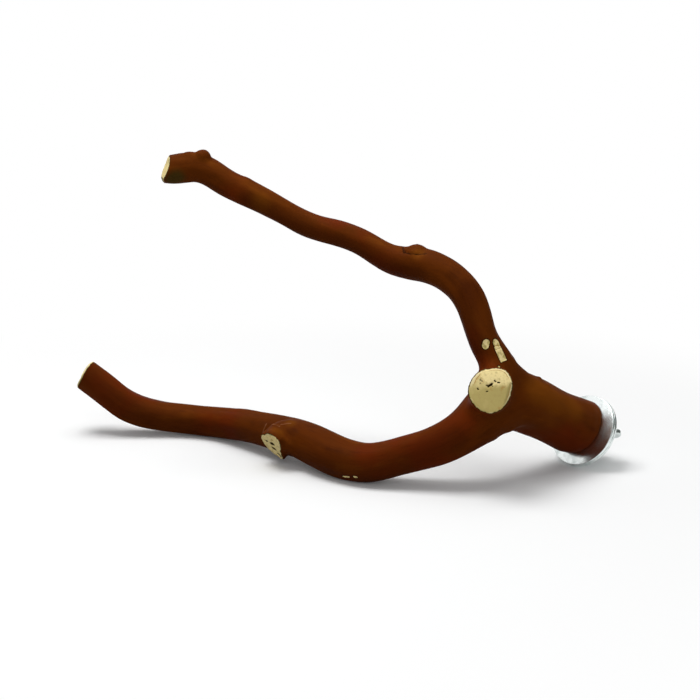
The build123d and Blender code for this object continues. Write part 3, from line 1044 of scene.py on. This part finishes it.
def branchMaterial():  # bare wood shows on the saw faces and in the scars
    material, tree, shader = newMaterial("barkAndSawnWood")
    place = addNode(tree, "TexCoord").outputs["Object"]
    wobble = calc(tree, "SUBTRACT", cloud(tree, place, *sawnLook["wobble"]), 0.5)
    wobble = times(tree, wobble, sawnLook["wobbleSize"])
    bark, barkRough, barkHeight = makeBark(tree, place)
    wood, woodHeight = makeSawnWood(tree, wobble)
    level = plus(tree, readValue(tree, "sawnLevel"), times(tree, wobble, sawnLook["sawWobble"]))
    scar = plus(tree, readValue(tree, "scarDepth"), times(tree, wobble, sawnLook["scarWobble"]))
    onScar = ramp(tree, scar, *sawnLook["scarEdge"])
    bare = calc(tree, "MAXIMUM", ramp(tree, level, *sawnLook["sawEdge"]), onScar)
    # dark bark round a scar, in the colour of the painted fold shade
    bark = mixColour(tree, ramp(tree, scar, *barkLook["scarRing"]), bark, barkLook["fold"])
    streaky = ramp(tree, cloud(tree, place, *sawnLook["scarStreaks"]), *sawnLook["deepStreaks"])
    scarWood = mixColour(tree, streaky, sawnLook["pale"], sawnLook["deep"])
    # painted shade in the folds that cross the scars
    foldShadeOnScars = ramp(tree, readValue(tree, "foldShare"), *sawnLook["creases"])
    wood = mixColour(tree, onScar, wood, mixColour(tree, foldShadeOnScars, scarWood, sawnLook["stain"]))
    tree.links.new(mixColour(tree, bare, bark, wood), shader.inputs["Base Color"])
    tree.links.new(mixValue(tree, bare, barkRough, sawnLook["roughness"]), shader.inputs["Roughness"])
    height = mixValue(tree, bare, barkHeight, woodHeight)
    grain = {"Height": height, "Strength": barkLook["bumpStrength"], "Distance": barkLook["bumpDepth"]}
    tree.links.new(addNode(tree, "Bump", grain).outputs[0], shader.inputs["Normal"])
    shader.inputs["Specular IOR Level"].default_value = barkLook["shine"]
    return material


branchWood = makeBranchMesh()
shapeBranch(branchWood)
pickOnly(branchWood)
bpy.ops.object.shade_smooth()
coat(branchWood, branchMaterial())
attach(branchWood, "branch")
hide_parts("branch")
print("branch made,", len(branchWood.data.polygons), "faces")


# Stage: white floor, soft overhead light and the photograph's camera

stageLook = {
    "floorSize": 8.0,
    "floorColour": (0.94, 0.945, 0.945, 1.0),
    "bounceColour": (0.36, 0.36, 0.35, 1.0),
    "floorGlow": 0.02,
    "clearFrom": 0.15,  # the floor turns plain white between these distances from its middle
    "clearTo": 0.36,
    "ambient": (0.30, 0.30, 0.30, 1.0),
    "white": (1.0, 1.0, 1.0, 1.0),
    "mirrorDark": (0.10, 0.11, 0.10, 1.0),  # what bright metal shows of the room in front
    "mirrorLean": (-0.35, 0.5, 0.7),  # the direction in which that room turns white
    "mirrorEdges": (0.10, 0.65),
    "lampAim": (0, 0, 0.05),
    "lamps": (  # place, size in metres, watts
        ((-0.30, 0.06, 1.05), 0.55, 6.0),
        ((0.05, 0.05, 1.20), 1.00, 4.2),
        ((0.05, -1.00, 0.55), 0.70, 2.2),
    ),
}


def seenRay(tree):  # camera, glossy and transmission rays see the white background
    path = addNode(tree, "LightPath")
    seen = calc(tree, "MAXIMUM", path.outputs["Is Camera Ray"], path.outputs["Is Glossy Ray"])
    return calc(tree, "MAXIMUM", seen, path.outputs["Is Transmission Ray"])


def makeFloor():
    floor = addShape(bpy.ops.mesh.primitive_plane_add, size=stageLook["floorSize"])
    floor.name = "floor"
    material, tree, shader = newMaterial("paleFloor")
    tree.nodes.remove(shader)
    place = addNode(tree, "TexCoord").outputs["Object"]
    reach = vectorMath(tree, "LENGTH", place)
    lit = addNode(tree, "BsdfDiffuse", {"Color": stageLook["floorColour"]})
    glow = addNode(tree, "Emission", {"Strength": stageLook["floorGlow"]})
    near = addNode(tree, "AddShader", {0: lit.outputs[0], 1: glow.outputs[0]})
    white = addNode(tree, "Emission", {"Strength": 1.0})
    clear = ramp(tree, reach, stageLook["clearFrom"], stageLook["clearTo"])
    shown = addNode(tree, "MixShader", {0: clear, 1: near.outputs[0], 2: white.outputs[0]})
    bounce = addNode(tree, "BsdfDiffuse", {"Color": stageLook["bounceColour"]})
    both = addNode(tree, "MixShader", {0: seenRay(tree), 1: bounce.outputs[0], 2: shown.outputs[0]})
    tree.links.new(both.outputs[0], tree.nodes["Material Output"].inputs["Surface"])
    coat(floor, material)


def makeWorld():
    world = bpy.data.worlds.new("studio")
    world.use_nodes = True
    tree = world.node_tree
    white = stageLook["white"]
    way = addNode(tree, "TexCoord").outputs["Generated"]
    lean = vectorMath(tree, "DOT_PRODUCT", way, stageLook["mirrorLean"])
    mirrored = mixColour(tree, ramp(tree, lean, *stageLook["mirrorEdges"]), stageLook["mirrorDark"], white)
    tint = mixColour(tree, seenRay(tree), stageLook["ambient"], white)
    tint = mixColour(tree, addNode(tree, "LightPath").outputs["Is Glossy Ray"], tint, mirrored)
    tree.links.new(tint, tree.nodes["Background"].inputs["Color"])
    scene.world = world


def makeLamps():
    for place, size, watts in stageLook["lamps"]:
        bpy.ops.object.light_add(type="AREA", location=place)
        lamp = bpy.context.object
        aim = Vector(stageLook["lampAim"]) - Vector(place)
        lamp.rotation_euler = aim.to_track_quat("-Z", "Y").to_euler()
        lamp.data.size = size
        lamp.data.energy = watts


cameraLook = {
    "place": (4.839 * mm, -744.987 * mm, 245.252 * mm),
    "lookDown": 14.0,
    "lens": 77.14,
    "sensor": 36.0,
    "nearest": 0.01,
}


def makeCamera():
    turn = (math.radians(90 - cameraLook["lookDown"]), 0, 0)
    bpy.ops.object.camera_add(location=cameraLook["place"], rotation=turn)
    camera = bpy.context.object
    camera.data.lens = cameraLook["lens"]
    camera.data.sensor_width = cameraLook["sensor"]
    camera.data.clip_start = cameraLook["nearest"]
    scene.camera = camera


makeFloor()
makeWorld()
makeLamps()
makeCamera()
print("stage made")
